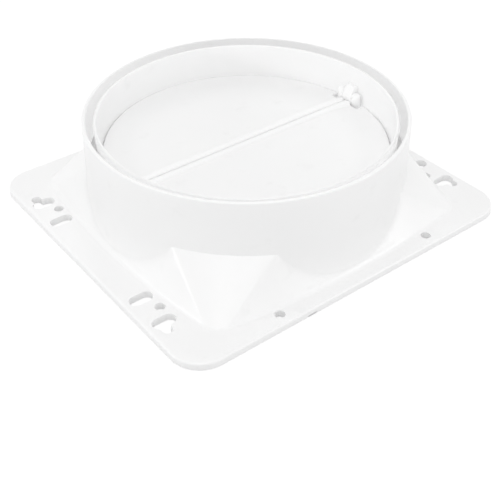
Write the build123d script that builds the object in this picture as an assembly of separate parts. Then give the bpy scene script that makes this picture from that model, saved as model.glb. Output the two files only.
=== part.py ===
"""Duct non-return valve: a square mounting plate, a round double-walled collar and two half-disc flaps.

Frame: millimetres, +Z up along the duct axis, origin at the centre of the plate's underside.
The flaps hinge side by side about axes along X, and swing up out of the collar when air pushes.
"""
import math
import os

from build123d import *

# Mounting plate
plate_end_margin = 18.25  # beyond the collar, along X
plate_side_margin = 9.5  # beyond the collar, along Y
plate_thickness = 4.0
plate_corner_radius = 17.0
plate_edge_round = 1.0

# Collar: the outer wall takes the duct, a lower inner wall stands behind a groove
collar_outer_radius = 89.0
collar_height = 59.1  # rim above the underside
collar_wall = 2.1
rim_round = 0.7
groove_width = 3.8
lip_wall = 1.9
lip_round = 0.85
lip_drop = 2.0  # lip of the inner wall below the rim
inner_wall_lean = 1.35  # how much the inner wall closes in from its lip to the seat

# Shelf that joins both walls and seats the flaps round the throat
seat_height = 35.4
seat_width = 4.85
shelf_thickness = 2.4

# Square-to-round transition: the collar's wall runs down into a square base with corner ramps
transition_height = 28.3  # where the corner ramps meet the collar
ramp_wall_drop = 1.1  # lowers the ramps' inner face to keep their thickness
base_side_inset = 4.4  # base sides inside the collar's radius, beside the corners
base_side_bulge = 6.2  # how far each base side swells out at its middle
base_corner_cut = 8.0  # how far from its corner the square's side turns into the blunt tip
base_tip_bulge = 1.5
ramp_half_angle = 18.0  # half of the collar's arc that one corner ramp takes
ridge_round = 4.0  # along both edges of each ramp
foot_round = 2.2  # where the base stands on the plate
wall_draft = 0.6  # how much the wall widens from the collar down to the plate's underside

# Fixing holes in the plate, one of each kind in every quarter
side_hole_diameter = 5.4
side_hole_spacing = 101.2
side_hole_edge_distance = 6.8
end_hole_diameter = 5.4
end_hole_spacing = 103.2
end_hole_edge_distance = 13.95
slot_length = 13.0
slot_width = 7.2
slot_spacing = 81.8
slot_edge_distance = 9.85  # plate edge to slot centre, for keyholes too
keyhole_spacing = 123.0
keyhole_neck_width = 5.4
keyhole_neck_shift = 1.9  # neck's middle line outside the slot's centre
keyhole_neck_reach = 8.3  # neck's end beyond the slot's middle line
keyhole_corner_round = 1.2

# Flaps
flap_thickness = 1.8
flap_edge_clearance = 0.4
flap_seat_clearance = 0.3
flap_edge_round = 0.5
flap_rise = 1.1  # height of the flat middle above the rim
flap_border_width = 16.4  # soft slope from the flat middle to the rim
flap_rim_width = 4.0
opening_angle = 85.0

# Hinge along the straight edge of each flap
hinge_rib_rise = 0.7  # rib's top above the flap's flat middle
hinge_rib_radius = 2.4  # half of the rib's width
hinge_rib_gap = 0.8  # between the ribs of the two flaps
hinge_rib_round = 0.9
hinge_rib_keel_round = 1.2
hinge_rib_slope = 3.6  # width of the soft slope from the rib's top to the flap
hinge_drop = 1.6  # hinge axis below the rib's top
hinge_end_gap = 1.2  # between a rib's end and its bearing block
stub_radius = 1.5
stub_clearance = 0.2
stub_end_clearance = 0.6
bore_depth = 4.6
notch_clearance = 0.4  # between the flap's corner and the posts it swings past
notch_round = 1.5

# Bearing block on the inner wall at each end of the hinge
block_depth = 5.4  # how far it stands in from the inner wall
block_rise = 2.9  # height above the hinge axis
post_rise = 6.7  # height above the hinge axis
post_radius = 2.7
post_offset = 5.9  # from the hinge's middle line
stop_overlap = 1.5  # how far the stop reaches up the open flap
stop_clearance = 0.3
stop_top_depth = 3.2
stop_round = 0.8

# Values that follow from those above
plate_length = 2 * (collar_outer_radius + plate_end_margin)
plate_width = 2 * (collar_outer_radius + plate_side_margin)
collar_inner_radius = collar_outer_radius - collar_wall
lip_outer_radius = collar_inner_radius - groove_width
lip_inner_radius = lip_outer_radius - lip_wall
lip_height = collar_height - lip_drop
seat_wall_radius = lip_inner_radius - inner_wall_lean
throat_radius = seat_wall_radius - seat_width
shelf_bottom = seat_height - shelf_thickness
base_half_side = collar_outer_radius - base_side_inset
base_tip = base_half_side - base_corner_cut / 2 + base_tip_bulge * math.sqrt(0.5)
ramp_slope = (transition_height - plate_thickness) / (base_tip * math.sqrt(2) - collar_outer_radius)
ramp_top_radius = collar_outer_radius - collar_wall / 2
ramp_top = transition_height + ramp_slope * collar_wall / 2
collar_start = ramp_top + collar_wall
flap_radius = seat_wall_radius - flap_edge_clearance
flap_rim_top = seat_height + flap_seat_clearance + flap_thickness
flap_flat_top = flap_rim_top + flap_rise
flap_rim_inner_radius = flap_radius - flap_rim_width
flap_flat_radius = flap_rim_inner_radius - flap_border_width
hinge_rib_top = flap_flat_top + hinge_rib_rise
hinge_height = hinge_rib_top - hinge_drop
hinge_offset = hinge_rib_radius + hinge_rib_gap / 2
block_front = seat_wall_radius - block_depth
block_back = seat_wall_radius + lip_wall / 2
rib_end = block_front - hinge_end_gap
post_reach = math.hypot(post_offset - hinge_offset, post_rise - post_radius) + post_radius
notch_reach = post_reach + notch_clearance
notch_half_width = hinge_offset + notch_reach
open_angle = math.radians(opening_angle)
rim_below_hinge = hinge_height - flap_rim_top
open_edge = hinge_offset + notch_reach * math.cos(open_angle) + rim_below_hinge * math.sin(open_angle)
stop_half_width = open_edge - stop_clearance
stop_rise = notch_reach * math.sin(open_angle) + stop_overlap


def quarters(spacing_x, spacing_y):
    """Places for a pattern with one copy in each quarter of the plate."""
    return [Pos(x * spacing_x / 2, y * spacing_y / 2) for x in (-1, 1) for y in (-1, 1)]


def base_outline(inset, height):
    """Rounded square with swelling sides, as a face at a height."""
    side = base_half_side - inset
    reach = base_half_side - base_corner_cut - inset * math.tan(math.pi / 8)
    tip = base_tip - inset * math.sqrt(0.5)
    points = [(side, -reach), (side + base_side_bulge, 0), (side, reach), (tip, tip), (reach, side)]
    edges = []
    for turn in range(4):
        a, b, c, d, e = [Vector(*point, height).rotate(Axis.Z, 90 * turn) for point in points]
        edges += [ThreePointArc(a, b, c), ThreePointArc(c, d, e)]
    return make_face(edges)


def ramp_outline(inset, height):
    """Square with round corners inside the collar's wall, where the ramps end, as a face at a height."""
    radius = ramp_top_radius - inset
    side_half_angle = 45 - ramp_half_angle
    edges = []
    for middle in (0, 90, 180, 270):
        start = Vector(radius, 0, height).rotate(Axis.Z, middle - side_half_angle)
        end = Vector(radius, 0, height).rotate(Axis.Z, middle + side_half_angle)
        edges.append(Line(start, end))
        edges.append(CenterArc((0, 0, height), radius, middle + side_half_angle, 2 * ramp_half_angle))
    return make_face(edges)


def square_base(inset, drop):
    """Straight-ruled body with leaning sides, from the rounded square on the plate into the collar."""
    lower = base_outline(inset, plate_thickness - drop)
    upper = ramp_outline(inset, ramp_top - drop)
    return loft([lower, upper], ruled=True)


def transition_body():
    """The square base with rounded ridges, and the drafted wall under the collar standing in it."""
    base = square_base(0, 0)
    ridges = [edge for edge in base.edges() if edge.bounding_box().size.Z > plate_thickness]
    wall = Cone(collar_outer_radius + wall_draft, collar_outer_radius, collar_start)
    return fillet(ridges, ridge_round) + Pos(0, 0, collar_start / 2) * wall


def transition_inside():
    """The hollow from the plate's underside up to the shelf."""
    hollow = square_base(collar_wall, ramp_wall_drop)
    entry = extrude(base_outline(collar_wall, -plate_thickness), 2 * plate_thickness - ramp_wall_drop)
    neck = Pos(0, 0, -plate_thickness) * extrude(Circle(collar_inner_radius), 2 * collar_height)
    return hollow + entry + neck


def mounting_plate():
    """The flat plate with its top edge rounded."""
    plate = extrude(RectangleRounded(plate_length, plate_width, plate_corner_radius), plate_thickness)
    return fillet(plate.faces().sort_by(Axis.Z)[-1].edges(), plate_edge_round)


def collar_walls():
    """Both walls of the collar and the shelf between them, turned about the duct axis."""
    outline = Polyline(
        (collar_outer_radius, collar_start),
        (collar_outer_radius, collar_height),
        (collar_inner_radius, collar_height),
        (collar_inner_radius, seat_height),
        (seat_wall_radius + lip_wall, seat_height),
        (lip_outer_radius, lip_height),
        (lip_inner_radius, lip_height),
        (seat_wall_radius, seat_height),
        (throat_radius, seat_height),
        (throat_radius, shelf_bottom),
        (collar_inner_radius, shelf_bottom),
        (collar_inner_radius, collar_start),
        close=True,
    )
    profile = make_face(outline)
    for height, radius in ((collar_height, rim_round), (lip_height, lip_round)):
        profile = fillet([v for v in profile.vertices() if abs(v.Y - height) < 1e-6], radius)
    return revolve(Plane.XZ * profile, Axis.Z)


def bearing_block():
    """Block, two domed posts and the flap stop at the +X end of the hinge, without bores."""
    floor = Plane.XY.offset(shelf_bottom)
    depth = block_back - block_front
    footprint = floor * Pos(block_front + depth / 2, 0) * Rectangle(depth, 2 * post_offset)
    block = extrude(footprint, hinge_height + block_rise - shelf_bottom)
    dome_height = hinge_height + post_rise - post_radius
    for y in (-post_offset, post_offset):
        post = floor * Pos(block_front + post_radius, y) * Circle(post_radius)
        block += extrude(post, dome_height - shelf_bottom)
        block += Pos(block_front + post_radius, y, dome_height) * Sphere(post_radius)
    side = Polyline(
        (block_back, shelf_bottom),
        (block_front, shelf_bottom),
        (block_front, hinge_height + block_rise),
        (block_back - stop_top_depth, hinge_height + stop_rise),
        (block_back, hinge_height + stop_rise),
        close=True,
    )
    stop = extrude(Plane.XZ * make_face(side), stop_half_width, both=True)
    top = [edge for edge in stop.edges() if edge.center().Z > hinge_height + block_rise + stop_round]
    front = [edge for edge in top if edge.center().X < block_back - 1e-3]
    return (block + fillet(front, stop_round)) & Cylinder(block_back, 2 * collar_height)


def bearing_bores():
    """Blind bores for the flaps' stubs at the +X end."""
    mouth = Plane.YZ.offset(block_front) * Circle(stub_radius + stub_clearance)
    bore = extrude(mouth, bore_depth)
    return [Pos(0, y, hinge_height) * bore for y in (-hinge_offset, hinge_offset)]


def fixing_holes():
    """Cutters for the screw holes, slots and keyholes."""
    slot_pitch = plate_length - 2 * slot_edge_distance
    neck_pitch = slot_pitch + 2 * keyhole_neck_shift
    reach = keyhole_neck_reach - keyhole_neck_width / 2
    slot = SlotOverall(slot_length, slot_width)
    holes = [place * slot for place in quarters(slot_pitch, slot_spacing)]
    side_pitch = plate_width - 2 * side_hole_edge_distance
    holes += [place * Circle(side_hole_diameter / 2) for place in quarters(side_hole_spacing, side_pitch)]
    end_pitch = plate_length - 2 * end_hole_edge_distance
    holes += [place * Circle(end_hole_diameter / 2) for place in quarters(end_pitch, end_hole_spacing)]
    neck = Pos(keyhole_neck_shift, reach / 2) * Rectangle(keyhole_neck_width, reach)
    keyhole = slot + neck + Pos(keyhole_neck_shift, reach) * Circle(keyhole_neck_width / 2)
    corners = [v for v in keyhole.vertices() if slot_width / 4 < v.Y < (slot_width / 2 + reach) / 2]
    corners = [v for v in corners if abs(abs(v.X - keyhole_neck_shift) - keyhole_neck_width / 2) < 1e-3]
    keyhole = fillet(corners, keyhole_corner_round)
    right = Pos(slot_pitch / 2, keyhole_spacing / 2) * keyhole
    for half in (right, mirror(right, Plane.YZ)):
        holes += [half, mirror(half, Plane.XZ)]
    return [extrude(hole, 2 * plate_thickness, both=True) for hole in holes]


def housing():
    """The whole moulded body: plate, transition, collar and bearing blocks."""
    body = mounting_plate() + transition_body()
    ground = body.faces().filter_by(lambda face: abs(face.center().Z - plate_thickness) < 1e-6)[0]
    body = fillet(ground.inner_wires()[0].edges(), foot_round) - transition_inside()
    body += collar_walls()
    for turn in (0, 180):
        body += Rot(0, 0, turn) * bearing_block()
    for turn in (0, 180):
        body -= [Rot(0, 0, turn) * bore for bore in bearing_bores()]
    return body - fixing_holes()


def soft_step(start, end):
    """Two arcs from one height to another, level at both ends."""
    bend = ((start[0] + end[0]) / 2, (start[1] + end[1]) / 2)
    return [TangentArc(start, bend, tangent=(1, 0)), TangentArc(end, bend, tangent=(-1, 0))]


def flap_disc():
    """The full disc with a raised flat middle that both flaps are halves of."""
    edges = []
    for drop in (0, flap_thickness):
        flat = flap_flat_top - drop
        rim = flap_rim_top - drop
        edges.append(Line((0, flat), (flap_flat_radius, flat)))
        edges += soft_step((flap_flat_radius, flat), (flap_rim_inner_radius, rim))
        edges.append(Line((flap_rim_inner_radius, rim), (flap_radius, rim)))
    edges.append(Line((0, flap_flat_top), (0, flap_flat_top - flap_thickness)))
    edges.append(Line((flap_radius, flap_rim_top), (flap_radius, flap_rim_top - flap_thickness)))
    profile = make_face(edges)
    profile = fillet([v for v in profile.vertices() if v.X > flap_radius - 1e-6], flap_edge_round)
    return revolve(Plane.XZ * profile, Axis.Z)


def hinge_rib():
    """Low rib along the straight edge of the rear flap, with a keel round the hinge axis below it."""
    inner = hinge_rib_gap / 2
    outer = hinge_offset + hinge_rib_radius
    low = flap_flat_top - flap_thickness
    keel = hinge_height - hinge_rib_radius
    slope_start = outer - hinge_rib_slope / 2
    slope_end = outer + hinge_rib_slope / 2
    top = hinge_rib_top
    outline = [
        Polyline((outer, low), (outer, keel), (inner, keel), (inner, top), (slope_start, top)),
        *soft_step((slope_start, top), (slope_end, flap_rim_top)),
        Polyline((slope_end, flap_rim_top), (slope_end, low), (outer, low)),
    ]
    profile = make_face(outline)
    profile = fillet([v for v in profile.vertices() if abs(v.Y - keel) < 1e-6], hinge_rib_keel_round)
    crest = [v for v in profile.vertices() if abs(v.Y - top) + abs(v.X - inner) < 1e-6]
    profile = fillet(crest, hinge_rib_round)
    return extrude(Plane.YZ * profile, rib_end, both=True)


def rear_flap():
    """The flap on the +Y side, with its rib, corner notches and pivot stubs."""
    half = Pos(0, hinge_rib_gap / 2 + flap_radius / 2) * Rectangle(2 * flap_radius, flap_radius)
    notch = RectangleRounded(2 * (flap_radius - rib_end), 2 * notch_half_width, notch_round)
    flap = flap_disc() & extrude(half, collar_height)
    for x in (-flap_radius, flap_radius):
        flap -= Pos(x, 0, 0) * extrude(notch, collar_height)
    stub_length = 2 * (block_front + bore_depth - stub_end_clearance)
    stubs = Pos(0, hinge_offset, hinge_height) * Cylinder(stub_radius, stub_length, rotation=(0, 90, 0))
    return flap + hinge_rib() + stubs


def main():
    """Writes one STEP file for each piece."""
    os.makedirs("parts", exist_ok=True)
    flap = rear_flap()
    pieces = {"housing": housing(), "flap_rear": flap, "flap_front": mirror(flap, Plane.XZ)}
    for node, shape in pieces.items():
        export_step(shape, f"parts/{node}.step")
        print(node, len(shape.solids()), "solid", shape.is_valid, round(shape.volume / 1000, 2), "cm3")


main()
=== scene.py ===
# %% [markdown]
# # A duct non-return valve in white plastic
#
# The valve sits on top of a cooker hood. Air pushes its two half-disc flaps up, and they fall shut
# again so that cold air cannot come back down the duct. The solids come from the CAD model, already
# in metres and in place, so this lesson is about the looks: the camera, the light and the plastic.

# %% Load the valve
import math

import bpy
from mathutils import Matrix, Vector


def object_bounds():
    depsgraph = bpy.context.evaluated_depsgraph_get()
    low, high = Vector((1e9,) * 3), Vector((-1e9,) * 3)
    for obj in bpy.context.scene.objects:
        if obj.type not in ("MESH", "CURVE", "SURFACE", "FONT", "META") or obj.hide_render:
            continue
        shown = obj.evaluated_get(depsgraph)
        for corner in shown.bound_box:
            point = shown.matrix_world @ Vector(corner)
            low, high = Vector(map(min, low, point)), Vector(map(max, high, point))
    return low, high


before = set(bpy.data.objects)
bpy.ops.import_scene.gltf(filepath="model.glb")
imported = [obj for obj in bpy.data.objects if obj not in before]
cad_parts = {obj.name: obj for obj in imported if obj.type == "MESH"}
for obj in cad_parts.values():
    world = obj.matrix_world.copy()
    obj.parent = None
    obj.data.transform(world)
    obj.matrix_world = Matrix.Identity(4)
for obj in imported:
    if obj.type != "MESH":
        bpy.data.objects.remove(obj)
cad_bounds = [list(corner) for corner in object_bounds()]
bpy.ops.object.select_all(action="DESELECT")
scene = bpy.context.scene
scene.view_settings.view_transform = "Standard"
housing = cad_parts["housing"]
flaps = [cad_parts["flap_front"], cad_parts["flap_rear"]]
print("valve box in metres:", cad_bounds)

# %% [markdown]
# ## Camera
#
# The picture looks down on one corner of the plate from about a third of a right angle up. The plate's
# edges run together towards the back, so the lens is a moderate one close by rather than a long one far
# away. The angles and the distance were fitted to the plate's edges and the rim's ellipse. The valve stands
# above the middle of the frame, and the camera's shift puts it there; turning the camera instead would make
# the ellipse lean.

# %% Place the camera
view_azimuth = math.radians(-37.52)
view_elevation = math.radians(32.83)
view_roll = math.radians(-0.26)
view_distance = 0.5283
view_target = Vector((0, 0, 0.0267))

level = Vector((math.cos(view_azimuth), math.sin(view_azimuth), 0))
back = Vector((
    math.sin(view_azimuth) * math.cos(view_elevation),
    -math.cos(view_azimuth) * math.cos(view_elevation),
    math.sin(view_elevation),
))
upright = back.cross(level)
right = level * math.cos(view_roll) + upright * math.sin(view_roll)
up = upright * math.cos(view_roll) - level * math.sin(view_roll)

lens = bpy.data.cameras.new("camera")
lens.sensor_width = 36
lens.lens = 67.73
lens.shift_x = 0.0067
lens.shift_y = -0.1833
lens.clip_start = 0.01
camera = bpy.data.objects.new("camera", lens)
turn = Matrix((right, up, back)).transposed().to_4x4()
camera.matrix_world = Matrix.Translation(view_target + back * view_distance) @ turn
scene.collection.objects.link(camera)
scene.camera = camera
print("camera at", [round(v, 3) for v in camera.matrix_world.translation])

# %% [markdown]
# ## Floor
#
# A white object on a white ground keeps its outline only if the ground is a touch brighter than the
# object. The floor could be lit harder, but that would burn out the plastic too. Instead its material
# glows a little for rays that show the floor itself, straight to the camera or by reflection, and stays a
# plain pale board for all other light. These helpers tell such rays apart and mix two tones.

# %% Tell apart the rays that show the ground
def link(tree, source, target):
    """Joins two sockets of a node tree."""
    tree.links.new(source, target)


def shown(tree):
    """1 for camera, glossy and transmission rays, which show the ground itself, and 0 for others."""
    ray = tree.nodes.new("ShaderNodeLightPath")
    value = ray.outputs["Is Camera Ray"]
    for kind in ("Is Glossy Ray", "Is Transmission Ray"):
        larger = tree.nodes.new("ShaderNodeMath")
        larger.operation = "MAXIMUM"
        link(tree, value, larger.inputs[0])
        link(tree, ray.outputs[kind], larger.inputs[1])
        value = larger.outputs[0]
    return value


def tone(tree, first, second, share):
    """Mixes two tones, each a grey or a colour made before, by a share that a pattern gives."""
    mixed = tree.nodes.new("ShaderNodeMix")
    mixed.data_type = "RGBA"
    # A Mix node keeps its two colours in inputs 6 and 7, and their mixture in output 2
    for slot, colour in ((6, first), (7, second)):
        if isinstance(colour, float):
            mixed.inputs[slot].default_value = (colour, colour, colour, 1)
        else:
            link(tree, colour, mixed.inputs[slot])
    link(tree, share, mixed.inputs[0])
    return mixed.outputs[2]


print("node helpers:", [helper.__name__ for helper in (link, shown, tone)])

# %% [markdown]
# The floor is one wide plane a hair's breadth under the plate, since two faces at the same height would
# flicker. It is rough and hardly glossy, so it mirrors nothing, and the soft shadow under the plate shows.
# A curved backdrop could stand behind it, but the world is white there anyway.

# %% Lay the floor
floor_size = 8
floor_drop = 0.0004
board_grey = 0.68
shown_grey = 0.34
shown_glow = 0.74

bpy.ops.mesh.primitive_plane_add(size=floor_size, location=(0, 0, -floor_drop))
floor = bpy.context.object
floor.name = "floor"
floor_paint = bpy.data.materials.new("floor_paint")
floor_paint.use_nodes = True
tree = floor_paint.node_tree
board = tree.nodes["Principled BSDF"]
board.inputs["Roughness"].default_value = 0.9
board.inputs["Specular IOR Level"].default_value = 0.1
board.inputs["Emission Color"].default_value = (1, 1, 1, 1)
seen = shown(tree)
link(tree, tone(tree, board_grey, shown_grey, seen), board.inputs["Base Color"])
glow = tree.nodes.new("ShaderNodeMath")
glow.operation = "MULTIPLY"
glow.inputs[1].default_value = shown_glow
link(tree, seen, glow.inputs[0])
link(tree, glow.outputs[0], board.inputs["Emission Strength"])
floor.data.materials.append(floor_paint)
print("floor laid at", floor.location.z)

# %% [markdown]
# ## Light
#
# Such pictures are taken in a white tent, so the world gives the same soft light from everywhere. Lamps
# alone would leave the inside of the collar dark. White plastic also passes light on many times, so more
# bounces than usual are allowed.

# %% Pitch the tent
tent_strength = 0.76
light_bounces = 24

tent = bpy.data.worlds.new("tent")
scene.world = tent
tent.use_nodes = True
tree = tent.node_tree
even = tree.nodes["Background"]
even.inputs["Color"].default_value = (1, 1, 1, 1)
even.inputs["Strength"].default_value = tent_strength
white = tree.nodes.new("ShaderNodeBackground")
white.inputs["Color"].default_value = (1, 1, 1, 1)
choose = tree.nodes.new("ShaderNodeMixShader")
link(tree, shown(tree), choose.inputs[0])
link(tree, even.outputs[0], choose.inputs[1])
link(tree, white.outputs[0], choose.inputs[2])
link(tree, choose.outputs[0], tree.nodes["World Output"].inputs["Surface"])
scene.cycles.max_bounces = light_bounces
scene.cycles.diffuse_bounces = light_bounces
print("tent of strength", tent_strength, "with", light_bounces, "bounces")

# %% [markdown]
# Four soft panels give the white shapes their form. Two stand low at the sides and brighten the collar there
# a little more than the wall that faces the camera; the left one is small, so that it draws a fine highlight
# along the ridge of the base. Two wide ones hang in front and behind, and light the plate and the flaps.

# %% Hang the panels
def hang_panel(name, place, size, watts):
    """A soft square panel that faces the valve."""
    panel = bpy.data.lights.new(name, "AREA")
    panel.shape = "SQUARE"
    panel.size = size
    panel.energy = watts
    lamp = bpy.data.objects.new(name, panel)
    away = place - view_target
    lamp.matrix_world = Matrix.Translation(place) @ away.to_track_quat("Z", "Y").to_matrix().to_4x4()
    scene.collection.objects.link(lamp)
    return lamp


towards_camera = Vector((back.x, back.y, 0)).normalized()
panels = [
    hang_panel("left_panel", Vector((-1.09, 0.44, 0.27)), size=0.1, watts=2.0),
    hang_panel("right_panel", Vector((0.7, -0.97, 0.16)), size=0.3, watts=1.7),
    hang_panel("front_panel", towards_camera * 0.5 + Vector((0, 0, 0.7)), size=0.6, watts=1.3),
    hang_panel("back_panel", towards_camera * -0.9 + Vector((0, 0, 0.8)), size=0.6, watts=0.8),
]
print("panels:", [(lamp.name, lamp.data.energy) for lamp in panels])

# %% [markdown]
# ## Moulded plastic
#
# The valve is injection moulded in white plastic with a satin gloss. A flat white would look like
# plaster, so the material has what such mouldings show: a faint cloudiness of the colour, a fine grain
# left by the tool's surface, soft waves where thick places have sunk, and thin upright marks on the walls
# where the part was drawn out of the tool. All of it is noise on Object coordinates, at its real size in
# metres, so it stays put from every side. These helpers make such patterns.

# %% Make patterns
def noise(tree, coords, scale, detail, stretch=None):
    """A noise pattern on Object coordinates, optionally stretched along the axes."""
    pattern = tree.nodes.new("ShaderNodeTexNoise")
    pattern.inputs["Scale"].default_value = scale
    pattern.inputs["Detail"].default_value = detail
    if stretch is None:
        link(tree, coords, pattern.inputs["Vector"])
    else:
        mapping = tree.nodes.new("ShaderNodeMapping")
        mapping.inputs["Scale"].default_value = stretch
        link(tree, coords, mapping.inputs["Vector"])
        link(tree, mapping.outputs["Vector"], pattern.inputs["Vector"])
    return pattern.outputs["Fac"]


def spread(tree, value, low, high, start=0.3, end=0.7):
    """Spreads a value from start..end over low..high."""
    ramp = tree.nodes.new("ShaderNodeMapRange")
    ramp.inputs["From Min"].default_value = start
    ramp.inputs["From Max"].default_value = end
    ramp.inputs["To Min"].default_value = low
    ramp.inputs["To Max"].default_value = high
    link(tree, value, ramp.inputs["Value"])
    return ramp.outputs["Result"]


def relief(tree, height, depth, strength, below=None):
    """A bump layer, laid on the layer below it."""
    bump = tree.nodes.new("ShaderNodeBump")
    bump.inputs["Distance"].default_value = depth
    bump.inputs["Strength"].default_value = strength
    link(tree, height, bump.inputs["Height"])
    if below is not None:
        link(tree, below, bump.inputs["Normal"])
    return bump.outputs["Normal"]


print("pattern helpers:", [helper.__name__ for helper in (noise, spread, relief)])

# %% [markdown]
# The cloudiness comes in two kinds: broad and even, and a few small smudges where the melt has flowed
# together. Light walks a little way below the surface before it comes out again, which softens the edges.
# The draw marks change the gloss as well as the relief, since a scraped wall is a little rougher.

# %% Mix the plastic
skin_share = 0.15
skin_depth = 0.004
smudge_drop = 0.06
gloss_range = (0.28, 0.38)
upright_stretch = (1, 1, 0.04)


def moulded_plastic(name, light_tone, cloud_tone):
    """White satin plastic with cloudiness, tool grain, sink waves and draw marks."""
    material = bpy.data.materials.new(name)
    material.use_nodes = True
    tree = material.node_tree
    plastic = tree.nodes["Principled BSDF"]
    coords = tree.nodes.new("ShaderNodeTexCoord").outputs["Object"]
    clouds = spread(tree, noise(tree, coords, scale=28, detail=3), 0, 1)
    smudges = spread(tree, noise(tree, coords, scale=85, detail=4), 0, 0.5, start=0.63, end=0.75)
    colour = tone(tree, tone(tree, light_tone, cloud_tone, clouds), cloud_tone - smudge_drop, smudges)
    link(tree, colour, plastic.inputs["Base Color"])
    draw_marks = noise(tree, coords, scale=420, detail=2, stretch=upright_stretch)
    link(tree, spread(tree, draw_marks, *gloss_range), plastic.inputs["Roughness"])
    waves = relief(tree, noise(tree, coords, scale=48, detail=2), depth=0.0006, strength=0.12)
    marks = relief(tree, draw_marks, depth=0.00006, strength=0.10, below=waves)
    fine = noise(tree, coords, scale=1900, detail=2)
    link(tree, relief(tree, fine, depth=0.00003, strength=0.25, below=marks), plastic.inputs["Normal"])
    plastic.inputs["Subsurface Weight"].default_value = skin_share
    plastic.inputs["Subsurface Radius"].default_value = (1, 1, 1)
    plastic.inputs["Subsurface Scale"].default_value = skin_depth
    return material


housing_plastic = moulded_plastic("housing_plastic", light_tone=0.955, cloud_tone=0.943)
flap_plastic = moulded_plastic("flap_plastic", light_tone=0.957, cloud_tone=0.945)
for node, material in ((housing, housing_plastic), (flaps[0], flap_plastic), (flaps[1], flap_plastic)):
    for place in node.material_slots:
        place.material = material
print("plastic on", [node.name for node in (housing, *flaps)])

# %% [markdown]
# ## Masks
#
# Some places on a piece differ from the rest. They could be painted on a UV map, but a mask worked out from
# Object coordinates needs no map and keeps its place on the piece. These helpers measure where a point lies
# and turn that into a mask with soft ends.

# %% Make masks
def coordinate(tree, axis):
    """One Object coordinate: X, Y or Z."""
    axes = tree.nodes.new("ShaderNodeSeparateXYZ")
    link(tree, tree.nodes.new("ShaderNodeTexCoord").outputs["Object"], axes.inputs[0])
    return axes.outputs[axis]


def distance(tree, centre, scale):
    """How far a point lies from a centre, with each axis scaled first."""
    value = tree.nodes.new("ShaderNodeTexCoord").outputs["Object"]
    for operation, operand in (("SUBTRACT", centre), ("MULTIPLY", scale)):
        step = tree.nodes.new("ShaderNodeVectorMath")
        step.operation = operation
        step.inputs[1].default_value = operand
        link(tree, value, step.inputs[0])
        value = step.outputs["Vector"]
    length = tree.nodes.new("ShaderNodeVectorMath")
    length.operation = "LENGTH"
    link(tree, value, length.inputs[0])
    return length.outputs["Value"]


def times(tree, first, second):
    """The product of two values."""
    product = tree.nodes.new("ShaderNodeMath")
    product.operation = "MULTIPLY"
    link(tree, first, product.inputs[0])
    link(tree, second, product.inputs[1])
    return product.outputs[0]


def band(tree, value, start, full, fade, end):
    """1 where a value lies between full and fade, and 0 outside start and end."""
    return times(tree, spread(tree, value, 0, 1, start, full), spread(tree, value, 1, 0, fade, end))


print("mask helpers:", [helper.__name__ for helper in (coordinate, distance, times, band)])

# %% [markdown]
# Under a mask the plastic changes in two ways. A grey is mixed into its colour, over whatever the colour was
# before, or light is let deeper into it, as in a thin wall that glows when light falls on its other side. A
# second material could do both, but its edge would be hard, and the mask's is soft.

# %% Change the plastic under a mask
def repaint(material, grey, mask):
    """Mixes a grey into a plastic's colour where a mask is 1."""
    tree = material.node_tree
    colour = tree.nodes["Principled BSDF"].inputs["Base Color"]
    link(tree, tone(tree, colour.links[0].from_socket, grey, mask), colour)


def let_light_through(material, depth, mask):
    """Lets light walk far below the surface where a mask is 1."""
    tree = material.node_tree
    plastic = tree.nodes["Principled BSDF"]
    link(tree, spread(tree, mask, skin_share, 1, 0, 1), plastic.inputs["Subsurface Weight"])
    link(tree, spread(tree, mask, skin_depth, depth, 0, 1), plastic.inputs["Subsurface Scale"])


print("finish helpers:", [helper.__name__ for helper in (repaint, let_light_through)])

# %% [markdown]
# ## Flap edges and ribs
#
# The hinge ribs along the flaps' straight edges are painted a little brighter than the rest: a band beside
# the hinge line gets a painted highlight in place of the light their rounded tops catch. The flaps' round
# edges are thin, and light comes through them into the crevice beside the wall, which is a fine grey line
# and not a black one. A lamp there would light the wall as well, so the edge itself is made to pass light,
# and its colour is lifted to near white as painted light over the crevice's shade.

# %% Paint a highlight on the ribs and light on the edges
duct_axis = (0, 0, 0)
level_only = (1, 1, 0)
edge_radii = (0.0788, 0.0793)
edge_depth = 0.05
rib_highlight_band = (-0.0065, -0.0045, 0.0045, 0.0065)
painted_rib_highlight = 0.985
painted_light_white = 0.998

tree = flap_plastic.node_tree
flap_edge = spread(tree, distance(tree, duct_axis, level_only), 0, 1, *edge_radii)
# Painted light: the flap's round edge is painted near white to lift the shade in the crevice beside the
# wall.
repaint(flap_plastic, painted_light_white, flap_edge)
let_light_through(flap_plastic, edge_depth, flap_edge)
# Painted highlight: the rib band is painted whiter than the flap, in place of the light on the ribs' tops.
repaint(flap_plastic, painted_rib_highlight, band(tree, coordinate(tree, "Y"), *rib_highlight_band))
print("flap edges brightened from radius", edge_radii[0], "and ribs to", rib_highlight_band[-1])

# %% [markdown]
# ## Groove
#
# The groove between the collar's two walls is narrow and deep, yet nearly as bright as the outside. Its
# walls are thin and stand free in the light, so light comes through them. More lamps would burn out the rim
# before they reached the groove, so its faces pass light instead, and their colour is painted near white as
# painted light over the groove's shade. A mask finds them by their distance from the duct's axis and their
# height, and another finds the wall's side of the crevice round the flaps, whose shade is painted over with
# light in the same way.

# %% Let light through the groove's walls and paint light over its shade
groove_radii = (0.0825, 0.0829, 0.0871, 0.0875)
groove_floor = (0.0345, 0.0352)
groove_walls = (0.0355, 0.0362)
groove_depth = 0.2
crevice_radii = (0.0785, 0.0790, 0.0804, 0.0808)
crevice_heights = (0.034, 0.035, 0.0375, 0.0385)

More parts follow.
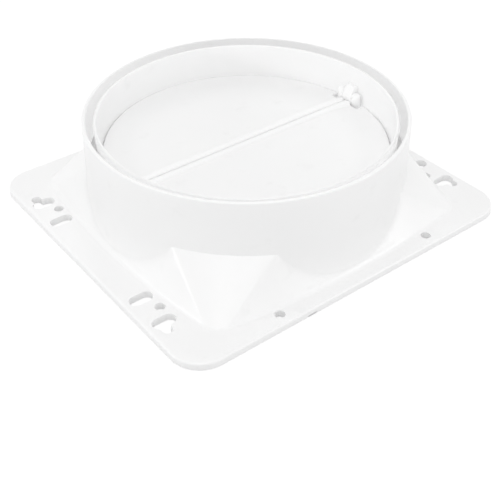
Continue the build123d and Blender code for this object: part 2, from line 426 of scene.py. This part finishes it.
tree = housing_plastic.node_tree
radius = distance(tree, duct_axis, level_only)
height = coordinate(tree, "Z")
groove = times(tree, band(tree, radius, *groove_radii), spread(tree, height, 0, 1, *groove_floor))
# Painted light: the groove's faces are painted near white to lift the shade deep in the groove.
repaint(housing_plastic, painted_light_white, groove)
walls = times(tree, groove, spread(tree, height, 0, 1, *groove_walls))
let_light_through(housing_plastic, groove_depth, walls)
crevice = times(tree, band(tree, radius, *crevice_radii), band(tree, height, *crevice_heights))
# Painted light: the wall's side of the crevice round the flaps is painted near white to lift its shade.
repaint(housing_plastic, painted_light_white, crevice)
print("light passes through the groove's walls above", groove_walls[0])

# %% [markdown]
# ## Soft valleys
#
# The wall runs down into the square base without a crease, because the mould rounds the valley between
# them. The solid has a sharp valley there, and its mesh is left alone, so the shading rounds it: the Bevel
# node turns the shading normal near the wall's foot, and leaves the ridges of the base and the rest crisp.

# %% Soften the valleys
foot_radii = (0.081, 0.086, 0.093, 0.098)
foot_heights = (0.0045, 0.007, 0.022, 0.026)
foot_rounding = 0.008

wall_foot = times(tree, band(tree, radius, *foot_radii), band(tree, height, *foot_heights))
soft = tree.nodes.new("ShaderNodeBevel")
soft.samples = 8
link(tree, spread(tree, wall_foot, 0, foot_rounding, 0, 1), soft.inputs["Radius"])
layer = tree.nodes["Principled BSDF"].inputs["Normal"].links[0].from_node
while layer.inputs["Normal"].is_linked:
    layer = layer.inputs["Normal"].links[0].from_node
link(tree, soft.outputs["Normal"], layer.inputs["Normal"])
print("valleys softened under", layer.name)

# %% [markdown]
# ## Dark streak on the plate's edge
#
# A small dark grey streak runs along the lower front edge of the plate. It is too small to model, so a soft
# stretched ball on Object coordinates marks it: inside the ball the colour turns grey.

# %% Darken the streak on the plate's edge
edge_streak_centre = Vector((-0.0355, cad_bounds[0][1], 0.0005))
edge_streak_half_size = (0.0034, 0.0012, 0.0007)
edge_streak_fade = (0.7, 1.1)
edge_streak_grey = 0.6

from_edge_streak = distance(tree, edge_streak_centre, [1 / half for half in edge_streak_half_size])
# A dark grey streak is painted on the plate's lower front edge.
repaint(housing_plastic, edge_streak_grey, spread(tree, from_edge_streak, 1, 0, *edge_streak_fade))
print("gate mark at", [round(v, 4) for v in edge_streak_centre])
